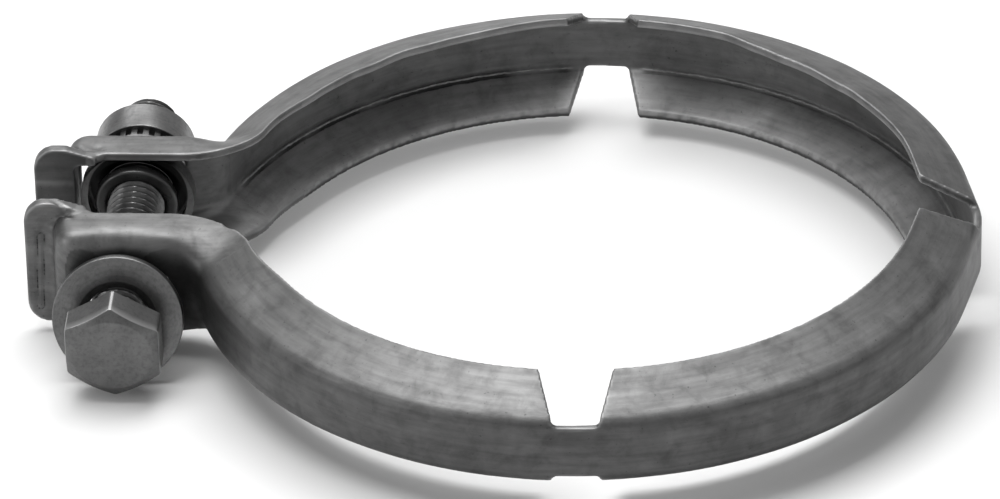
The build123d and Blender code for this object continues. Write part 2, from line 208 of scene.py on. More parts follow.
# Materials
class Nodes:
    """Short calls that add and link shader nodes."""

    def __init__(self, name):
        self.material = bpy.data.materials.new(name)
        self.material.use_nodes = True
        self.tree = self.material.node_tree
        self.shader = self.tree.nodes["Principled BSDF"]

    def add(self, kind, **settings):
        node = self.tree.nodes.new(kind)
        for key, value in settings.items():
            setattr(node, key, value)
        return node

    def link(self, output, target):
        self.tree.links.new(output, target)

    def place(self, attribute=None, scale=(1, 1, 1)):
        """Coordinates in metres, from the object or from an attribute, times scale."""
        if attribute:
            source = self.add("ShaderNodeAttribute", attribute_name=attribute).outputs["Vector"]
        else:
            source = self.add("ShaderNodeTexCoord").outputs["Object"]
        mapping = self.add("ShaderNodeMapping")
        mapping.inputs["Scale"].default_value = scale
        self.link(source, mapping.inputs["Vector"])
        return mapping.outputs["Vector"]

    def noise(self, place, size, detail=3.0, rough=0.55, distort=0.0):
        """Noise with features of this size in metres."""
        node = self.add("ShaderNodeTexNoise")
        node.inputs["Scale"].default_value = 1 / size
        node.inputs["Detail"].default_value = detail
        node.inputs["Roughness"].default_value = rough
        node.inputs["Distortion"].default_value = distort
        self.link(place, node.inputs["Vector"])
        return node.outputs["Fac"]

    def ramp(self, value, stops):
        """Greys over a value from 0 to 1."""
        node = self.add("ShaderNodeValToRGB")
        ramp = node.color_ramp
        while len(ramp.elements) < len(stops):
            ramp.elements.new(0.5)
        for element, (at, grey) in zip(ramp.elements, stops):
            element.position = at
            element.color = (grey, grey, grey, 1)
        self.link(value, node.inputs["Fac"])
        return node.outputs["Color"]

    def mix(self, share, first, second, mode="MIX"):
        """Mixes two colours, each an output or a grey."""
        node = self.add("ShaderNodeMix", data_type="RGBA", blend_type=mode)
        for value, index in ((share, 0), (first, 6), (second, 7)):
            socket = node.inputs[index]
            if isinstance(value, bpy.types.NodeSocket):
                self.link(value, socket)
            else:
                socket.default_value = value if index == 0 else (value, value, value, 1)
        return node.outputs[2]

    def times(self, colour, value, stops, share):
        """A colour multiplied by greys over a value, as far as share says."""
        return self.mix(share, colour, self.ramp(value, stops), "MULTIPLY")

    def passage(self, value, start, end):
        """A value's way from start to end, as 0 to 1."""
        node = self.add("ShaderNodeMapRange")
        node.inputs["From Min"].default_value = start
        node.inputs["From Max"].default_value = end
        self.link(value, node.inputs["Value"])
        return node.outputs["Result"]

    def parts(self, attribute):
        """The three numbers of a vector attribute."""
        source = self.add("ShaderNodeAttribute", attribute_name=attribute)
        split = self.add("ShaderNodeSeparateXYZ")
        self.link(source.outputs["Vector"], split.inputs[0])
        return split.outputs[:]

    def scaled(self, value, share):
        """A value times another."""
        node = self.add("ShaderNodeMath", operation="MULTIPLY")
        self.link(value, node.inputs[0])
        self.link(share, node.inputs[1])
        return node.outputs[0]

    def bolt_place(self):
        """Distance from the bolt's axis and place along it, together and the distance alone."""
        mapping = self.add("ShaderNodeMapping", vector_type="TEXTURE")
        mapping.inputs["Location"].default_value = (HANG_X, 0, HANG_Z)
        mapping.inputs["Rotation"].default_value = (DROOP, 0, -SWING)
        self.link(self.add("ShaderNodeTexCoord").outputs["Object"], mapping.inputs["Vector"])
        split = self.add("ShaderNodeSeparateXYZ")
        self.link(mapping.outputs["Vector"], split.inputs[0])
        flat = self.add("ShaderNodeCombineXYZ")
        self.link(split.outputs["X"], flat.inputs["X"])
        self.link(split.outputs["Z"], flat.inputs["Y"])
        length = self.add("ShaderNodeVectorMath", operation="LENGTH")
        self.link(flat.outputs[0], length.inputs[0])
        both = self.add("ShaderNodeCombineXYZ")
        self.link(length.outputs["Value"], both.inputs["X"])
        self.link(split.outputs["Y"], both.inputs["Y"])
        return both.outputs[0], length.outputs["Value"]

    def bump(self, height, depth, strength=1.0, normal=None):
        """Bump of this depth in metres."""
        node = self.add("ShaderNodeBump")
        node.inputs["Distance"].default_value = depth
        node.inputs["Strength"].default_value = strength
        self.link(height, node.inputs["Height"])
        if normal is not None:
            self.link(normal, node.inputs["Normal"])
        return node.outputs["Normal"]

    def finish(self, colour, rough, normal, metallic=1.0):
        """The material, with a number or an output for how metallic it is."""
        self.link(colour, self.shader.inputs["Base Color"])
        self.link(rough, self.shader.inputs["Roughness"])
        self.link(normal, self.shader.inputs["Normal"])
        if isinstance(metallic, bpy.types.NodeSocket):
            self.link(metallic, self.shader.inputs["Metallic"])
        else:
            self.shader.inputs["Metallic"].default_value = metallic
        return self.material


def seam_highlight_and_shadow(n, strip):
    """Painted highlight on the ridge and painted shadow in the gap along the lower inside corner,
    with the slot's outline as painted shadow, as two shares.
    """
    across, _, share = n.parts("seam")
    ragged = n.add("ShaderNodeMath", operation="MULTIPLY_ADD")
    n.link(n.noise(n.place("strip", (0.45, 1, 1)), 0.55 * MM, 4, 0.7), ragged.inputs[0])
    ragged.inputs[1].default_value = 0.5 * MM
    n.link(across, ragged.inputs[2])
    line = n.passage(ragged.outputs[0], -0.5 * MM, 1.0 * MM)
    ridge = n.scaled(n.ramp(line, [(0.58, 0.0), (0.65, 0.7), (0.71, 0.5), (0.80, 0.0)]), share)
    ridge = n.scaled(ridge, n.ramp(n.noise(strip, 2.2 * MM, 2), [(0.42, 0.15), (0.60, 1.0)]))
    shadow_line = n.scaled(n.ramp(line, [(0.15, 0.0), (0.26, 1.0), (0.50, 1.0), (0.58, 0.0)]), share)
    return ridge, shadow_line


def band_steel():
    """Bare stamped sheet: satin, with soft stains and streaks that run along the band, rubbed
    edges, and painted shade, highlight and shadow.
    """
    n = Nodes("band_steel")
    along = n.place("strip", (0.10, 1, 1))
    strip = n.place("strip")
    blotch = n.noise(strip, 11 * MM, 4, 0.62, 0.6)
    patch = n.noise(strip, 3.0 * MM, 5, 0.62, 0.4)
    streak = n.noise(along, 1.1 * MM, 4, 0.6)
    fine = n.noise(along, 0.26 * MM, 2, 0.5)
    grain = n.noise(n.place(), 0.16 * MM, 2, 0.6)
    speck = n.noise(strip, 0.5 * MM, 2, 0.5)
    worn, painted_shade, inside = n.parts("wear_and_shade")
    ridge, shadow_line = seam_highlight_and_shadow(n, strip)

    colour = n.ramp(blotch, [(0.30, 0.104), (0.52, 0.132), (0.72, 0.160)])
    colour = n.times(colour, streak, [(0.30, 0.55), (0.55, 0.95), (0.75, 1.15)], 0.55)
    colour = n.times(colour, patch, [(0.30, 0.62), (0.50, 1.0), (0.70, 1.14)], 0.65)
    colour = n.times(colour, speck, [(0.24, 0.30), (0.31, 1.0)], 0.60)
    # Painted shade on the web's inside and painted light on the flanges' insides
    colour = n.times(colour, inside, [(0.0, 1.0), (0.5, 0.84), (1.0, 1.55)], 1.0)
    # Painted shade, rubbed metal, then the seam's painted shadow and painted highlight
    for share, grey in ((painted_shade, SHADE_GREY), (worn, RUBBED), (shadow_line, SEAM_SHADOW), (ridge, SEAM_HIGHLIGHT)):
        colour = n.mix(share, colour, grey)

    rough = n.ramp(patch, [(0.3, 0.52), (0.7, 0.43)])
    rough = n.mix(0.5, rough, n.ramp(streak, [(0.3, 0.52), (0.7, 0.44)]))
    rough = n.mix(n.ramp(inside, [(0.0, 0.0), (0.5, 1.0)]), rough, 0.50)
    normal = n.bump(fine, 0.012 * MM, 0.5)
    normal = n.bump(grain, 0.014 * MM, 0.5, normal)
    normal = n.bump(patch, 0.05 * MM, 0.35, normal)
    normal = n.bump(ridge, 0.20 * MM, 0.8, normal)
    return n.finish(colour, rough, normal, n.ramp(inside, [(0.0, 1.0), (0.5, 0.75), (1.0, 0.6)]))


def plain_steel(name, tone, rough_low, rough_high, lines=None, dark=None):
    """Machined or rolled steel with faint marks and turning lines, dark with oxide and painted
    shade out to a radius.
    """
    n = Nodes(name)
    place = n.place()
    blotch = n.noise(place, 4 * MM, 4, 0.6, 0.4)
    grain = n.noise(place, 0.13 * MM, 3, 0.6)
    speck = n.noise(place, 0.55 * MM, 3, 0.65)
    colour = n.ramp(blotch, [(0.30, tone * 0.82), (0.55, tone), (0.75, tone * 1.14)])
    colour = n.times(colour, speck, [(0.33, 0.66), (0.5, 1.0), (0.7, 1.1)], 0.5)
    rough = n.ramp(speck, [(0.3, rough_high), (0.7, rough_low)])
    normal = n.bump(grain, 0.012 * MM, 0.55)
    if lines:
        place, distance = n.bolt_place()
        turning = n.noise(place, lines, 3, 0.55)
        colour = n.times(colour, turning, [(0.35, 0.80), (0.6, 1.08)], 0.5)
        normal = n.bump(turning, 0.02 * MM, 0.6, normal)
    if dark:
        # Dark oxide and painted shade inside the cup, out to the radius
        inner = n.passage(distance, dark + 0.12 * MM, dark - 0.05 * MM)
        colour = n.mix(inner, colour, CUP_OXIDE_AND_SHADE)
    if name == "bolt_steel":
        root_shade, worn, _ = n.parts("groove")
        # Painted shade in the thread's roots
        colour = n.mix(root_shade, colour, THREAD_ROOT_SHADE)
        # Rubbed head edges, with a painted highlight
        colour = n.mix(worn, colour, HEAD_EDGE_WEAR_AND_GLINT)
    return n.finish(colour, rough, normal)


def dark_polymer():
    n = Nodes("dark_polymer")
    place = n.place()
    mottle = n.noise(place, 1.6 * MM, 3)
    grain = n.noise(place, 0.12 * MM, 2)
    colour = n.ramp(mottle, [(0.3, 0.010), (0.7, 0.022)])
    rough = n.ramp(mottle, [(0.3, 0.34), (0.7, 0.26)])
    return n.finish(colour, rough, n.bump(grain, 0.008 * MM, 0.5), 0.0)


def floor_paint():
    n = Nodes("floor_paint")
    place = n.place()
    colour = n.ramp(n.noise(place, 0.3, 2), [(0.3, 0.62), (0.7, 0.64)])
    rough = n.ramp(n.noise(place, 0.02, 2), [(0.3, 0.8), (0.7, 0.9)])
    return n.finish(colour, rough, n.bump(n.noise(place, 2 * MM, 2), 0.01 * MM, 0.3), 0.0)


# Meshes
def new_piece(name, points, faces, material, sharp):
    """Smooth-shaded object from points and faces, with edges over sharp degrees kept hard."""
    mesh = bpy.data.meshes.new(name)
    mesh.from_pydata([tuple(p) for p in points], [], [tuple(f) for f in faces])
    mesh.polygons.foreach_set("use_smooth", [True] * len(mesh.polygons))
    mesh.set_sharp_from_angle(angle=math.radians(sharp))
    mesh.validate()
    mesh.materials.append(material)
    piece = bpy.data.objects.new(name, mesh)
    bpy.context.scene.collection.objects.link(piece)
    return piece


def stands_for(piece, body, node):
    """The piece rides on a body in place of a solid."""
    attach(piece, body)
    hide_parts(node)


def add_attribute(mesh, name, vectors):
    """Keeps three numbers for each point of a mesh."""
    attribute = mesh.attributes.new(name, "FLOAT_VECTOR", "POINT")
    attribute.data.foreach_set("vector", np.asarray(vectors, np.float32).ravel())


def hung(points):
    """Points given along a level bolt, turned to where the bolt hangs."""
    pivot_y = LUG_FACE - SHEET / 2
    turn = Matrix.Rotation(DROOP, 3, "X") @ Matrix.Rotation(-SWING, 3, "Z")
    moved = (np.asarray(points) - [0, pivot_y, 0]) @ np.array(turn).T
    return moved + [HANG_X, pivot_y, HANG_Z]


def leaning(points):
    """Points of the washer, which leans against the thread of the hanging bolt."""
    lean = Matrix.Rotation(-DROOP - WASHER_LEAN, 3, "X")
    return hung(np.asarray(points) @ np.array(lean).T + [0, WASHER_AT, 0])


def rounded(outline, radius, steps=4):
    """Closed outline with each corner rounded, by at most 0.45 of its sides."""
    result = []
    count = len(outline)
    for i, point in enumerate(outline):
        corner = np.array(point, float)
        before = np.array(outline[i - 1], float) - corner
        after = np.array(outline[(i + 1) % count], float) - corner
        size_b, size_a = np.linalg.norm(before), np.linalg.norm(after)
        before, after = before / size_b, after / size_a
        half = math.acos(np.clip(before @ after, -1, 1)) / 2
        cut = min(radius / math.tan(half), 0.45 * size_b, 0.45 * size_a)
        start, end = corner + before * cut, corner + after * cut
        for k in range(steps + 1):
            t = k / steps
            result.append((1 - t) ** 2 * start + 2 * t * (1 - t) * corner + t * t * end)
    return np.array(result)


def turned_mesh(outline, steps):
    """Points and faces of a closed (radius, y) outline turned round the Y axis."""
    angles = np.arange(steps) * 2 * math.pi / steps
    count = len(outline)
    points = np.array([(r * math.cos(a), y, r * math.sin(a)) for a in angles for r, y in outline])
    faces = []
    for i in range(steps):
        for k in range(count):
            a, b = i * count + k, i * count + (k + 1) % count
            c, d = (i + 1) % steps * count + (k + 1) % count, (i + 1) % steps * count + k
            faces.append((a, b, c, d))
    return points, faces


def turned_piece(name, outline, radius, material, move=hung, steps=96):
    """Object turned round the bolt's axis, with rounded corners."""
    points, faces = turned_mesh(rounded(outline, radius), steps)
    return new_piece(name, move(points), faces, material, 50)


# Bolt. Angles are measured from a ridge of the head, in sixths with a flat in the middle.
SIXTH = math.radians(60)
HALF_SIXTH = math.radians(30)
HEX_STEPS = (-30, -29.2, -28, -25, -20, -15, -10, -5, 0, 5, 10, 15, 20, 25, 28, 29.2)


def hex_radius(angles):
    """Distance from the bolt's axis to the head's flats, its ridges a little rounded."""
    from_middle = angles % SIXTH - HALF_SIXTH
    ridge = np.clip((np.abs(from_middle) - math.radians(28)) / math.radians(2), 0, 1)
    return HEAD_AF / 2 / np.cos(from_middle) - HEAD_ROUNDING * ridge**2


def thread_radius(angles, y):
    """Radius of the right-hand thread at these angles and this place."""
    phase = (y / PITCH + angles / (2 * math.pi)) % 1.0
    rise = np.abs(phase - 0.5) * 2
    radius = THREAD_R - THREAD_DEPTH * np.clip((rise - 0.12) / 0.72, 0, 1)
    runout = float(smooth(np.array(y), SHANK_START + 0.6 * MM, SHANK_START + 2.0 * MM))
    radius = RUNOUT_R * (1 - runout) + radius * runout
    tip = SHANK_START + BOLT_LENGTH
    return np.minimum(radius, THREAD_R - max(0.0, y - (tip - TIP_CHAMFER)))


def bolt_rings(angles):
    """Rings of (radius, y) from the head's face to the tip, and the first and last on its flats."""
    hexagon = hex_radius(angles)
    level = np.ones(len(angles))
    front = SHANK_START - HEAD_K
    back = SHANK_START - HEAD_STEP
    tip = SHANK_START + BOLT_LENGTH
    edge = front + (hexagon - HEAD_FACE_R) * HEAD_CONE
    rings = [(radius, front) for radius in HEAD_FACE_RINGS]
    rings.append((HEAD_FACE_R, front + HEAD_FACE_RISE))
    for share in (0.12, 0.5, 0.9):
        radius = HEAD_FACE_R + (hexagon - HEAD_FACE_R) * share
        rings.append((radius, front + (radius - HEAD_FACE_R) * HEAD_CONE + HEAD_FACE_RISE))
    first_flat = len(rings)
    rings += [(hexagon - 0.05 * MM, edge), (hexagon, edge + 0.09 * MM)]
    rings += [(hexagon, edge + (back - edge) * share) for share in (0.3, 0.7)]
    rings += [(hexagon, back - 0.12 * MM), (hexagon - HEAD_ROUNDING, back)]
    last_flat = len(rings) - 1
    rings += [(HEAD_SEAT_R, back), (HEAD_SEAT_R, SHANK_START)]
    rings += [(THREAD_R + 0.25 * MM, SHANK_START), (THREAD_R - 0.2 * MM, SHANK_START + 0.25 * MM)]
    step = PITCH / STEPS_PER_TURN
    first = SHANK_START + 0.5 * MM
    for k in range(int((tip - first) / step)):
        y = first + k * step
        rings.append((thread_radius(angles, y), y))
    rings += [(THREAD_R - TIP_CHAMFER - 0.05 * MM, tip), (1.6 * MM, tip)]
    return [(radius * level, y * level) for radius, y in rings], first_flat, last_flat


def bolt_piece(material):
    """Hexagon bolt with its thread, its rubbed edges with a painted highlight and painted shade in
    its thread roots marked.
    """
    angles = np.radians([face * 60 + 30 + step for face in range(6) for step in HEX_STEPS])
    rings, first_flat, last_flat = bolt_rings(angles)
    front, tip = SHANK_START - HEAD_K, SHANK_START + BOLT_LENGTH
    count = len(angles)
    points = [(0, front, 0)]
    for radius, y in rings:
        points.extend(zip(radius * np.sin(angles), y, radius * np.cos(angles)))
    points.append((0, tip, 0))
    faces = []
    for i in range(count):
        j = (i + 1) % count
        faces.append((0, 1 + j, 1 + i))
        for k in range(len(rings) - 1):
            a = 1 + k * count
            faces.append((a + i, a + j, a + count + j, a + count + i))
        a = 1 + (len(rings) - 1) * count
        faces.append((a + i, a + j, len(points) - 1))
    points = np.array(points)
    piece = new_piece("bolt", hung(points), faces, material, 26)

    # Painted shade in the thread's roots
    distance = np.hypot(points[:, 0], points[:, 2])
    root_shade = smooth(THREAD_R - distance, 0.30 * MM, 0.70 * MM) * (points[:, 1] > SHANK_START)
    root_shade = root_shade * (points[:, 1] < tip - TIP_CHAMFER) * 0.85
    # Rubbed edges of the head, with a painted highlight along its ridges and chamfer edge
    ring_of = np.concatenate([[0], np.repeat(np.arange(len(rings)), count), [len(rings)]])
    from_ridge = HALF_SIXTH - np.abs(angles % SIXTH - HALF_SIXTH)
    at_ridge = np.concatenate([[0], np.tile(from_ridge < math.radians(0.9), len(rings)), [0]])
    ridge = at_ridge * (ring_of >= first_flat) * (ring_of <= last_flat)
    rim = (ring_of == first_flat) | (ring_of == first_flat + 1)
    worn = 0.55 * np.maximum(ridge, rim)
    add_attribute(piece.data, "groove", np.stack([root_shade, worn, root_shade * 0], 1))
    return piece


# Band
BAND_BODIES = {
    "band_front_lug": "front_lug", "band_front_right": "ring_front",
    "band_rear_right": "ring_rear", "band_rear_lug": "rear_lug",
    "neck_front": ("ring_front", "front_lug"), "neck_right": ("ring_rear", "ring_front"),
    "neck_rear": ("ring_rear", "rear_lug"),
}
NECK_ANGLES = {"neck_front": -SIDE_NECK, "neck_rear": SIDE_NECK, "neck_right": 0.0}
VOXEL = 0.26 * MM
SOFTENING_ROUNDS = 50


def whole_band():
    """One fine mesh over the seven solids of the band, its cut edges softly rounded."""
    joined = bmesh.new()
    for node in BAND_BODIES:
        joined.from_mesh(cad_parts[node].data)
    bmesh.ops.remove_doubles(joined, verts=joined.verts, dist=1e-6)
    source = bpy.data.meshes.new("band_source")
    joined.to_mesh(source)
    joined.free()
    holder = bpy.data.objects.new("band_source", source)
    bpy.context.scene.collection.objects.link(holder)
    remesh = holder.modifiers.new("remesh", "REMESH")
    remesh.mode = "VOXEL"
    remesh.voxel_size = VOXEL
    smoother = holder.modifiers.new("smooth", "SMOOTH")
    smoother.factor = 0.5
    smoother.iterations = 4
    graph = bpy.context.evaluated_depsgraph_get()
    mesh = bpy.data.meshes.new_from_object(holder.evaluated_get(graph))
    bpy.data.objects.remove(holder)
    points = np.empty(len(mesh.vertices) * 3)
    mesh.vertices.foreach_get("co", points)
    faces = np.empty(len(mesh.polygons) * 4, int)
    mesh.polygons.foreach_get("vertices", faces)
    bpy.data.meshes.remove(mesh)
    return points.reshape(-1, 3), faces.reshape(-1, 4)


def strip_place(points):
    """Place along the strip, across it and through it, for each point."""
    x, y, z = points.T
    side = np.where(y < 0, -1.0, 1.0)
    angle = np.abs(np.arctan2(y, x))
    on_ring = angle < RING_END
    along = np.where(on_ring, angle * WEB_R, RING_END * WEB_R - (x - BEND_X))
    return np.stack([side * along, z, np.where(on_ring, np.hypot(x, y), np.abs(y))], 1)


def seam(points):
    """Place across the seam and its strength, for the painted highlight and shadow lines that the
    material draws.
    """
    x, y, z = points.T
    angle = np.abs(np.arctan2(y, x))
    radius = np.hypot(x, y)
    inner = WEB_R - SHEET
    from_neck = np.minimum(np.abs(angle - SIDE_NECK), angle) * WEB_R
    strength = smooth(from_neck, *SEAM_START) * (1 - smooth(angle, *SEAM_END))
    strength = strength * np.where(angle < SIDE_NECK, 0.7, 1.0)
    place = np.stack([angle * WEB_R * np.sign(y), z * 0, z * 0], 1)
    strength = strength * np.clip(0.8 + 0.5 * noise(place, 4 * MM), 0, 1)
    strength = strength * ((radius > inner - 2.2 * MM) & (radius < inner + 0.1 * MM) & (z < 0))
    across = (z + CORNER_IN + 0.25 * MM) * 0.75 + (radius - inner + 0.35 * MM) * 0.66

    # Outline of the slot on the front tab, drawn as a painted shadow line
    on_tab = (y < -TAB_FACE + 0.5 * MM) & (y > -TAB_FACE - 0.6 * MM) & (x < TAB_START_X)
    past_end = np.maximum(np.abs(z - SLOT_Z) - SLOT_HALF_H, 0)
    from_slot = np.hypot(x - SLOT_X - SLOT_TILT * z, past_end)
    across = np.where(on_tab, -0.34 * MM - 1.5 * np.abs(from_slot - SLOT_HALF_W), across)
    strength = np.where(on_tab, 0.9 * (from_slot < 1.0 * MM), strength)
    return np.stack([across, angle * WEB_R, strength], 1)


def dressed(points, seams):
    """Moves points to the marks that pressing left: ridge, sag, folds and the slot."""
    x, y, z = points.T
    turn = np.arctan2(y, x)
    radius = np.hypot(x, y)
    out = np.stack([x / radius, y / radius, z * 0], 1)
    up = np.array([0.0, 0.0, 1.0])
    move = np.zeros_like(points)
    across, strength = seams[:, 0], seams[:, 2]

    # Ridge along the lower inside corner
    ridge = bump(across, *RIDGE_ACROSS) * strength * (np.abs(turn) < 2.9) * (x > -70 * MM)
    move += (up * 0.6 - out) * (RIDGE_DEPTH * ridge)[:, None]

    # The rear flange reaches further in and droops between its ends
    depth = np.clip((WEB_R - radius) / (WEB_R - FLANGE_R), 0, 1) ** 2 * (z > 3 * MM) * (turn > 0)
    degrees = np.degrees(np.abs(turn))
    sag = between(degrees, *SAG_RIGHT) + 0.9 * between(degrees, *SAG_LEFT)
    sag = sag * (1 + 0.25 * noise(np.stack([degrees, degrees * 0, degrees * 0], 1), 6.0))
    move -= out * (SAG_IN * depth * sag)[:, None]
    move -= up * (SAG_DOWN * depth * sag)[:, None]

    # Right edge of the window, closer to the nut
    edge = between(x, *WINDOW_X) * smooth(np.abs(z), *WINDOW_Z) * (y > LUG_FACE - 2 * MM)
    move[:, 0] -= WINDOW_SHIFT * edge

    # Slanted fold and lip where each tab leaves the top of its lug, and a crease in the rear one
    top = smooth(z, *TAB_TOP)
    from_fold = x - FOLD_X[0]
    slant = np.where(y < 0, FRONT_SHIFT + FRONT_SLANT * from_fold, REAR_SLANT * from_fold)
    fold = bump(x, *FOLD_X) * bump(np.abs(y) + slant, *FOLD_Y)
    lip = bump(x, *LIP_X) * bump(np.abs(y), *LIP_Y)
    crease = bump(x, *CREASE_X) * bump(y, *CREASE_Y) * smooth(z, *CREASE_TOP)
    move[:, 2] += LIP_RISE * lip * top - FOLD_DEPTH * fold * top - CREASE_DEPTH * crease

    # Inner bends of the rear lug, kept clear of the cup as it rocks
    bend = bump(np.abs(z), *CUP_BEND_Z) * bump(y, *CUP_BEND_Y)
    bend = CUP_CLEARANCE * bend * smooth(x, -56 * MM, -60 * MM)
    move[:, 1] += bend
    move[:, 2] += bend * np.sign(z)

    # Slot pressed into the front tab
    slot = strength * (x < TAB_START_X) * (y < 0)
    move[:, 1] += SLOT_DEPTH * slot * bump(across, -0.3 * MM, 0.3 * MM)

    # Upper edge of the bolt's hole in the front lug, which the washer hides
    edge = smooth(np.hypot(x - BOLT_X, z), *HOLE_R) * between(z, *HOLE_Z)
    edge = edge * (y < -LUG_FACE + 2.4 * MM) * (x < -54 * MM)
    move[:, 2] -= HOLE_DROP * edge
    return points + move


def neighbour_mean(faces, count):
    """Function that gives each point the mean of its neighbours' values."""
    ends = np.concatenate([faces[:, [i, (i + 1) % 4]] for i in range(4)])
    ends = np.concatenate([ends, ends[:, ::-1]])
    degree = np.bincount(ends[:, 0], minlength=count)
    return lambda values: np.bincount(ends[:, 0], values[ends[:, 1]], count) / degree


def softened(points, around):
    """Wider bends along the top and bottom of the front lug, and where it leaves the ring."""
    x, y, z = points.T
    share = smooth(np.abs(z), 3.2 * MM, 4.6 * MM) * smooth(x, -42 * MM, -50 * MM)
    share = share * smooth(np.hypot(x, y), FLANGE_R + 2 * MM, FLANGE_R + 4 * MM)
    share = 0.9 * share * smooth(y, -LUG_FACE + 4 * MM, -LUG_FACE + 2.6 * MM)
    points = points.copy()
    for _ in range(SOFTENING_ROUNDS):
        for k in range(3):
            points[:, k] += share * (around(points[:, k]) - points[:, k])
    return points


def sheet_waves(points):
    """Slight unevenness of the pressed sheet, the same on both of its faces."""
    x, y, z = points.T
    radius = np.hypot(x, y)
    wide = np.stack([x, y, z * 0.4], 1)
    push = 0.05 * MM * noise(wide, 9 * MM) + 0.025 * MM * noise(wide + 3, 4 * MM)
    quiet = smooth(radius, FLANGE_R, FLANGE_R + 2 * MM) * smooth(WEB_R - radius, 0, 0.2 * MM)
    lift = 0.06 * MM * noise(np.stack([x, y, z * 0], 1) + 5, 14 * MM) * (np.abs(z) > 4 * MM)
    return np.stack([x / radius * push * quiet, y / radius * push * quiet, lift * quiet], 1)


def point_normals(points, faces):
    """Normals of the whole band's mesh, before it is split."""
    mesh = bpy.data.meshes.new("whole")
    mesh.from_pydata(points.tolist(), [], faces.tolist())
    mesh.update()
    normals = np.empty(len(points) * 3)
    mesh.vertex_normals.foreach_get("vector", normals)
    bpy.data.meshes.remove(mesh)
    return normals.reshape(-1, 3)


def curvature(points, normals, around):
    """How far each point stands out of its neighbours, in voxels, smoothed a little."""
    rise = sum((points[:, k] - around(points[:, k])) * normals[:, k] for k in range(3))
    for _ in range(2):
        rise = 0.5 * rise + 0.5 * around(rise)
    return rise / VOXEL


def facing_in(points, normals):
    """0 outside the channel, 0.5 on its web's inside and 1 on its flanges' insides."""
    x, y, z = points.T
    radius = np.hypot(x, y)
    flange = smooth(np.abs(z), 3.5 * MM, 5 * MM) * 2.2 * np.sign(z)
    lug = smooth(x, -50 * MM, -56 * MM)
    out = np.stack([x / radius * (1 - lug), y / radius * (1 - lug) + np.sign(y) * lug, flange], 1)
    out /= np.linalg.norm(out, axis=1)[:, None]
    inside = smooth(-np.sum(out * normals, axis=1), 0.2, 0.6)
    return inside * (0.5 + 0.5 * smooth(np.abs(z), 3.4 * MM, 4.4 * MM))


def rubbing_and_painted_shade(points, normals, rise, strip):
    """Where the sheet is rubbed bright, where shade is painted on it, and which faces lie inside.
    """
    x, y, z = points.T
    along, _, through = strip.T
    patchy = 0.75 + 0.5 * noise(points, 1.6 * MM)
    worn = smooth(rise, 0.035, 0.11) * np.clip(patchy, 0, 1) * 0.6
    # Painted shade in hollows and creases of the sheet
    painted_shade = smooth(-rise, 0.03, 0.09) * 0.6

    # Painted shadow on the inside of the rear tab, where the front lug shades it
    tab_shadow = (y > 6 * MM) * (normals[:, 1] < -0.3) * smooth(x, -64 * MM, -66 * MM)
    painted_shade = np.maximum(painted_shade, tab_shadow * (0.42 + 0.25 * noise(points, 2.5 * MM)))

    # Cut edges, rubbed on top, speckled, and with painted shade along their lowest rim
    flange_edge = (through < FLANGE_R + 0.14 * MM) & (through > 40 * MM)
    lug_edge = (through < TAB_FACE) & (through > 5 * MM) & (np.abs(z) > 6.5 * MM)
    cut = flange_edge | (lug_edge & (x > -69 * MM))
    rim = cut & (z < -7.5 * MM)
    speckle = np.clip(0.15 + 0.9 * noise(points, 0.7 * MM), 0, 0.5)
    worn = np.maximum(worn, 0.4 * cut * (z > 0) * np.clip(patchy, 0, 1))
    worn = np.where(cut & (z < 0), speckle * ~rim, worn)
    painted_shade = np.maximum(painted_shade, 0.8 * rim)

    # Painted shade on the outside of the ring's web, and painted shadow of the washer on the lug's
    # face round it
    web = smooth(np.abs(z), 6.8 * MM, 4.8 * MM)
    web = web * smooth(through, WEB_R - 0.5 * MM, WEB_R - 0.2 * MM)
    web = web * smooth(np.abs(along), 2.5 * WEB_R, 2.2 * WEB_R)
    painted_shade = np.maximum(painted_shade, 0.32 * web)
    face = smooth(np.hypot(x - BOLT_X, z), 17 * MM, 9 * MM)
    face = face * smooth(np.abs(z), 7.4 * MM, 5.2 * MM) * (y < -LUG_FACE + 0.3 * MM)
    painted_shade = np.maximum(painted_shade, 0.6 * face)
    return np.stack([worn, painted_shade, facing_in(points, normals)], 1)


def faces_of_parts(middle):
    """Which faces, given by their middles, belong to each of the band's seven solids."""
    x, y, _ = middle.T
    turn = np.arctan2(y, x)
    neck_half = NECK_HALF_W / WEB_R
    parts = {
        "neck_front": np.abs(turn + SIDE_NECK) < neck_half,
        "neck_rear": np.abs(turn - SIDE_NECK) < neck_half,
        "neck_right": np.abs(y) < NECK_HALF_W * (x > 0),
    }
    lengths = ~(parts["neck_front"] | parts["neck_rear"] | parts["neck_right"])
    parts["band_front_lug"] = (turn < -SIDE_NECK) & lengths
    parts["band_rear_lug"] = (turn > SIDE_NECK) & lengths
    parts["band_front_right"] = (turn >= -SIDE_NECK) & (turn < 0) & lengths
    parts["band_rear_right"] = (turn <= SIDE_NECK) & (turn >= 0) & lengths
    return parts


def blend_neck(piece):
    """Bakes a neck's placing into its mesh; the neck is not bent between bodies."""
    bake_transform(piece)


def band_pieces(material):
    """Splits the fine mesh into the band's seven pieces, with one shading over all of them."""
    points, faces = whole_band()
    around = neighbour_mean(faces, len(points))
    strip, seams = strip_place(points), seam(points)
    points = softened(dressed(points, seams), around)
    points = points + sheet_waves(points)
    normals = point_normals(points, faces)
    wear_and_shade = rubbing_and_painted_shade(points, normals, curvature(points, normals, around), strip)
    for node, chosen in faces_of_parts(points[faces].mean(axis=1)).items():
        used, index = np.unique(faces[chosen], return_inverse=True)
        piece = new_piece("strip_" + node, points[used], index.reshape(-1, 4), material, 180)
        piece.data.normals_split_custom_set_from_vertices(normals[used])
        for name, vectors in (("strip", strip), ("wear_and_shade", wear_and_shade), ("seam", seams)):
            add_attribute(piece.data, name, vectors[used])
        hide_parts(node)
        if node in NECK_ANGLES:
            blend_neck(piece)
        else:
            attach(piece, BAND_BODIES[node])


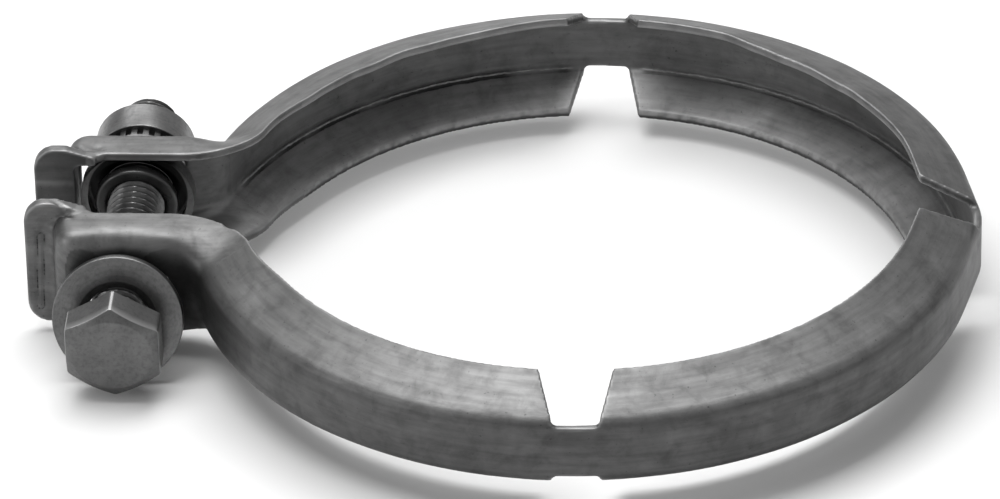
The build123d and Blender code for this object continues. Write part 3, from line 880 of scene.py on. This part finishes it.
# Scene
def build_object():
    band = band_steel()
    bolt = plain_steel("bolt_steel", 0.125, 0.30, 0.42)
    nut = plain_steel("nut_steel", 0.150, 0.28, 0.40, 0.25 * MM)
    washer = plain_steel("washer_steel", 0.150, 0.34, 0.44, 0.3 * MM)
    cup = plain_steel("cup_steel", 0.150, 0.30, 0.42, 0.25 * MM, CUP_R - CUP_RIM)
    polymer = dark_polymer()
    band_pieces(band)
    stands_for(bolt_piece(bolt), "bolt", "hex_bolt")

    outline = [
        (WASHER_BORE_R, WASHER_HALF_T), (WASHER_R, WASHER_HALF_T), (WASHER_R, -WASHER_HALF_T),
        (WASHER_DISH_R, -WASHER_HALF_T), (WASHER_BORE_R, WASHER_LIP),
    ]
    piece = turned_piece("washer", outline, 0.22 * MM, washer, leaning, 128)
    stands_for(piece, "washer", "head_washer")

    outline = [
        (NUT_BORE_R + NUT_CHAMFER, CUP_BASE), (NUT_NECK_R, CUP_BASE), (NUT_NECK_R, NUT_AT),
        (NUT_R, NUT_AT), (NUT_R, NUT_END - NUT_EDGE), (NUT_R - NUT_EDGE, NUT_END),
        (NUT_BORE_R + NUT_CHAMFER, NUT_END), (NUT_BORE_R, NUT_END - NUT_CHAMFER),
        (NUT_BORE_R, CUP_BASE + NUT_CHAMFER),
    ]
    piece = turned_piece("nut_barrel", outline, 0.2 * MM, nut)
    stands_for(piece, "nut", "round_nut")

    outline = [
        (STOP_BORE_R, STOP_AT), (STOP_R, STOP_AT), (STOP_R, STOP_AT + STOP_T),
        (STOP_BORE_R, STOP_AT + STOP_T),
    ]
    piece = turned_piece("thread_ring", outline, 0.6 * MM, polymer)
    stands_for(piece, "bolt_carriage", "stop_ring")

    for node, material in (("toothed_ring", nut), ("nut_cup", cup)):
        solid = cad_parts[node]
        solid.data.materials.clear()
        solid.data.materials.append(material)
        bevel = solid.modifiers.new("bevel", "BEVEL")
        bevel.width = 0.12 * MM
        bevel.segments = 2


# Name, place, size and power of each lamp. All of them point at the ring's centre.
LAMPS = (
    ("overhead", (-0.10, 0.10, 0.75), (0.86, 0.42), 8.2),
    ("behind", (-0.30, 1.15, 0.70), (0.8, 0.5), 3.9),
    ("left", (-0.95, -0.55, 0.32), (0.5, 0.4), 2.2),
)
WORLD_STRENGTH = 0.64
FLOOR_SIZE = 6

CAMERA_PLACE = (45.44 * MM, -916.24 * MM, 568.47 * MM)
CAMERA_ELEVATION = math.radians(31.86)
CAMERA_ROLL = math.radians(-1.33)
CAMERA_HEADING = math.radians(3.55)
CAMERA_FOCUS = 7834.08                  # focal length in pixels
IMAGE_WIDTH = 1000
SENSOR_WIDTH = 36


def studio():
    """Plain pale floor under the object, soft lamps and a white world."""
    bpy.ops.mesh.primitive_plane_add(size=FLOOR_SIZE, location=(0, 0, cad_low.z))
    floor = bpy.context.object
    floor.name = "floor"
    floor.data.materials.append(floor_paint())
    for name, place, size, power in LAMPS:
        lamp = bpy.data.lights.new(name, "AREA")
        lamp.shape = "RECTANGLE"
        lamp.size, lamp.size_y = size
        lamp.energy = power
        light = bpy.data.objects.new(name, lamp)
        bpy.context.scene.collection.objects.link(light)
        light.location = place
        light.rotation_euler = (-Vector(place)).to_track_quat("-Z", "Y").to_euler()
    world = bpy.data.worlds.new("world")
    world.use_nodes = True
    background = world.node_tree.nodes["Background"]
    background.inputs["Color"].default_value = (1, 1, 1, 1)
    background.inputs["Strength"].default_value = WORLD_STRENGTH
    bpy.context.scene.world = world


def camera():
    """The photograph's camera: 32 degrees down on the ring, from a little right of its front."""
    rise, roll = CAMERA_ELEVATION, CAMERA_ROLL
    ahead = Vector((0, math.cos(rise), -math.sin(rise)))
    up = Vector((0, math.sin(rise), math.cos(rise)))
    right = Vector((math.cos(roll), 0, 0)) + up * math.sin(roll)
    up = up * math.cos(roll) - Vector((math.sin(roll), 0, 0))
    turn = Matrix.Rotation(CAMERA_HEADING, 3, "Z")
    axes = Matrix((turn @ right, turn @ up, -(turn @ ahead))).transposed()
    data = bpy.data.cameras.new("camera")
    data.sensor_fit = "HORIZONTAL"
    data.sensor_width = SENSOR_WIDTH
    data.lens = CAMERA_FOCUS * SENSOR_WIDTH / IMAGE_WIDTH
    data.clip_start, data.clip_end = 0.05, 20
    view = bpy.data.objects.new("camera", data)
    bpy.context.scene.collection.objects.link(view)
    view.matrix_world = Matrix.Translation(CAMERA_PLACE) @ axes.to_4x4()
    bpy.context.scene.camera = view


build_object()
studio()
camera()
bpy.context.scene.view_settings.view_transform = "Standard"
